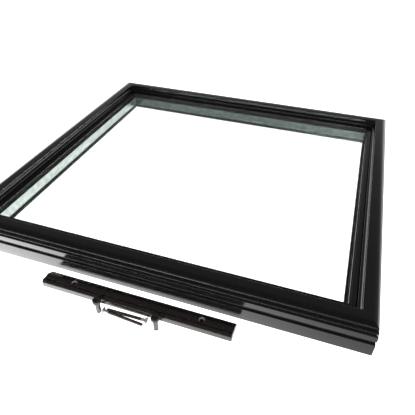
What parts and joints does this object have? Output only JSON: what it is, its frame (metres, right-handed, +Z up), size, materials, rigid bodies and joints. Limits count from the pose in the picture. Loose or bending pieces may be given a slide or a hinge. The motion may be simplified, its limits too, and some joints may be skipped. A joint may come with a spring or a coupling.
{
  "type": "window sash with handle kit",
  "caption": "Black framed window sash with a sealed double-glass unit, lying flat, with its loose pull bar, countersunk screws and sleeve nuts.",
  "frame": {"origin": "middle of the whole set's footprint, on the floor", "axes": "+Z up, out of the sash's glazing-bead side; +X along the front rail and the handle bar, to the right; +Y from the loose kit towards the sash"},
  "size_m": [0.548, 0.5536, 0.0465],
  "materials": {
    "frame_black": "black, satin to gloss, smooth extruded",
    "bead_black": "black, satin, smooth extruded",
    "mill_aluminium": "mill finish, sawn ends",
    "black_rubber": "matt black",
    "grey_plastic": "matt grey",
    "clear_glass": "clear float glass, green at its edge",
    "spacer_aluminium": "bright mill finish, fine pierced seam",
    "drying_beads": "pale grains",
    "bar_brown": "dark bronze anodised look, satin",
    "screw_steel": "dark steel, brighter near the head",
    "zinc_steel": "zinc plated, turned",
    "cap_black": "black moulded"
  },
  "bodies": {
    "sash": {"front_rail": "frame_black", "right_stile": "frame_black", "back_rail": "frame_black", "left_stile": "frame_black", "front_bead": "bead_black", "right_bead": "bead_black", "back_bead": "bead_black", "left_bead": "bead_black", "front_left_corner_key": "mill_aluminium", "front_right_corner_key": "mill_aluminium", "back_right_corner_key": "mill_aluminium", "back_left_corner_key": "mill_aluminium", "weather_seal": "black_rubber", "bead_gasket": "black_rubber", "ledge_gasket": "black_rubber", "setting_blocks": "grey_plastic", "upper_pane": "clear_glass", "lower_pane": "clear_glass", "front_spacer": "spacer_aluminium", "right_spacer": "spacer_aluminium", "back_spacer": "spacer_aluminium", "left_spacer": "spacer_aluminium", "spacer_corner_keys": "grey_plastic", "desiccant": "drying_beads", "upper_butyl": "black_rubber", "lower_butyl": "black_rubber", "edge_sealant": "black_rubber"},
    "handle_bar": {"handle_bar": "bar_brown"},
    "left_screw": {"left_screw": "screw_steel"},
    "right_screw": {"right_screw": "screw_steel"},
    "left_sleeve_nut": {"left_nut_barrel": "zinc_steel", "left_nut_cap": "cap_black"},
    "right_sleeve_nut": {"right_nut_barrel": "zinc_steel", "right_nut_cap": "cap_black"}
  },
  "joints": [
    {"name": "bar_lift", "type": "slide", "parent": "sash", "child": "handle_bar", "axis": [0, 0, 1], "range_m": [0, 0.12]},
    {"name": "left_screw_lift", "type": "slide", "parent": "sash", "child": "left_screw", "axis": [0, 0, 1], "range_m": [0, 0.12]},
    {"name": "right_screw_lift", "type": "slide", "parent": "sash", "child": "right_screw", "axis": [0, 0, 1], "range_m": [0, 0.12]},
    {"name": "left_nut_lift", "type": "slide", "parent": "sash", "child": "left_sleeve_nut", "axis": [0, 0, 1], "range_m": [0, 0.12]},
    {"name": "right_nut_lift", "type": "slide", "parent": "sash", "child": "right_sleeve_nut", "axis": [0, 0, 1], "range_m": [0, 0.12]}
  ]
}
